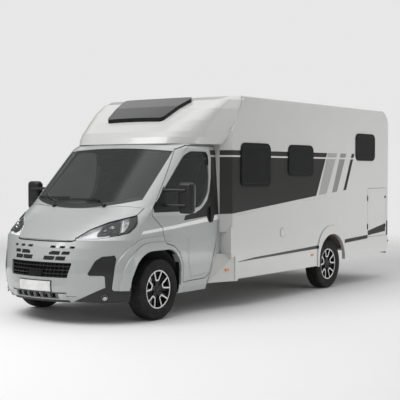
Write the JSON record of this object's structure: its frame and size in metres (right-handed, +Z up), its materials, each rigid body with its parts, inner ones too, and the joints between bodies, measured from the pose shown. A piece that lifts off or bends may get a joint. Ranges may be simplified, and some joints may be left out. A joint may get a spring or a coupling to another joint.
{
  "type": "semi-integrated motorhome",
  "caption": "Motorhome on a van chassis cab, with an overcab cap, a long living body, hinged doors and lids, steered front wheels and free turning wheels.",
  "frame": {"origin": "on the ground, under the middle of the whole vehicle", "axes": "+Z up, the front faces -Y, +X is the vehicle's left side"},
  "size_m": [2.724, 6.9899, 2.8259],
  "materials": {
    "cab_paint": "satin metallic",
    "body_panel": "gloss",
    "dark_trim": "matt",
    "silver_trim": "satin",
    "window_glass": "tinted",
    "acrylic": "dark tinted",
    "lamp": "clear",
    "tail_lamp": "gloss",
    "tyre": "matt",
    "alloy": "gloss black with bright edges",
    "steel": "satin",
    "iron": "plain",
    "floor": "sealed",
    "interior": "grained",
    "cloth": "woven",
    "exhaust_steel": "dull",
    "tank_plastic": "plain"
  },
  "bodies": {
    "vehicle": {"cab_shell": "cab_paint", "front_bumper": "cab_paint", "corner_inserts": "dark_trim", "front_lamps": "lamp", "windscreen": "window_glass", "cowl_panel": "dark_trim", "front_grille": "dark_trim", "lower_intake": "silver_trim", "cab_floor": "steel", "dashboard": "interior", "steering_wheel": "interior", "cab_seats": "cloth", "overcab_cap": "body_panel", "cab_skylight": "acrylic", "side_wall_left": "body_panel", "side_wall_right": "body_panel", "side_windows": "acrylic", "roof_panel": "body_panel", "rear_wall": "body_panel", "roof_vents": "silver_trim", "living_floor": "floor", "side_fairings": "body_panel", "body_skirts": "body_panel", "rear_bumper": "body_panel", "rear_lamps": "tail_lamp", "chassis_frame": "steel", "engine_block": "iron", "front_suspension": "iron", "rear_axle": "iron", "leaf_springs": "steel", "under_floor_tanks": "tank_plastic", "exhaust_line": "exhaust_steel"},
    "bonnet_lid": {"bonnet": "cab_paint"},
    "left_cab_door": {"cab_door_left": "cab_paint", "door_glass_left": "window_glass", "door_mirror_left": "dark_trim"},
    "right_cab_door": {"cab_door_right": "cab_paint", "door_glass_right": "window_glass", "door_mirror_right": "dark_trim"},
    "entry_door": {"entrance_door": "body_panel", "entrance_window": "acrylic"},
    "left_garage_door": {"garage_door_left": "body_panel"},
    "right_garage_door": {"garage_door_right": "body_panel"},
    "left_knuckle": {"knuckle_left": "iron"},
    "right_knuckle": {"knuckle_right": "iron"},
    "front_left_wheel": {"rim_front_left": "alloy", "tyre_front_left": "tyre"},
    "front_right_wheel": {"rim_front_right": "alloy", "tyre_front_right": "tyre"},
    "rear_left_wheel": {"rim_rear_left": "alloy", "tyre_rear_left": "tyre"},
    "rear_right_wheel": {"rim_rear_right": "alloy", "tyre_rear_right": "tyre"}
  },
  "joints": [
    {"name": "bonnet_hinge", "type": "hinge", "parent": "vehicle", "child": "bonnet_lid", "pos_m": [0, -2.635, 1.4], "axis": [-1, 0, 0], "range_deg": [0, 50]},
    {"name": "left_cab_door_hinge", "type": "hinge", "parent": "vehicle", "child": "left_cab_door", "pos_m": [1, -2.565, 0.9], "axis": [0, 0, -1], "range_deg": [0, 68]},
    {"name": "right_cab_door_hinge", "type": "hinge", "parent": "vehicle", "child": "right_cab_door", "pos_m": [-1, -2.565, 0.9], "axis": [0, 0, 1], "range_deg": [0, 68]},
    {"name": "entry_door_hinge", "type": "hinge", "parent": "vehicle", "child": "entry_door", "pos_m": [-1.168, -0.715, 1.5], "axis": [0, 0, 1], "range_deg": [0, 100]},
    {"name": "left_garage_hinge", "type": "hinge", "parent": "vehicle", "child": "left_garage_door", "pos_m": [1.168, 2.728, 1.09], "axis": [0, 0, -1], "range_deg": [0, 100]},
    {"name": "right_garage_hinge", "type": "hinge", "parent": "vehicle", "child": "right_garage_door", "pos_m": [-1.168, 2.728, 1.09], "axis": [0, 0, 1], "range_deg": [0, 100]},
    {"name": "left_steer", "type": "hinge", "parent": "vehicle", "child": "left_knuckle", "pos_m": [0.811, -2.45, 0.363], "axis": [0, 0, 1], "range_deg": [-35, 35]},
    {"name": "right_steer", "type": "hinge", "parent": "vehicle", "child": "right_knuckle", "pos_m": [-0.811, -2.45, 0.363], "axis": [0, 0, 1], "range_deg": [-35, 35]},
    {"name": "front_left_spin", "type": "hinge", "parent": "left_knuckle", "child": "front_left_wheel", "pos_m": [0.915, -2.45, 0.363], "axis": [1, 0, 0], "continuous": true},
    {"name": "front_right_spin", "type": "hinge", "parent": "right_knuckle", "child": "front_right_wheel", "pos_m": [-0.915, -2.45, 0.363], "axis": [1, 0, 0], "continuous": true},
    {"name": "rear_left_spin", "type": "hinge", "parent": "vehicle", "child": "rear_left_wheel", "pos_m": [1.01, 1.523, 0.363], "axis": [1, 0, 0], "continuous": true},
    {"name": "rear_right_spin", "type": "hinge", "parent": "vehicle", "child": "rear_right_wheel", "pos_m": [-1.01, 1.523, 0.363], "axis": [1, 0, 0], "continuous": true}
  ],
  "couplings": [
    {"joint": "right_steer", "follows": "left_steer", "ratio": 1}
  ]
}
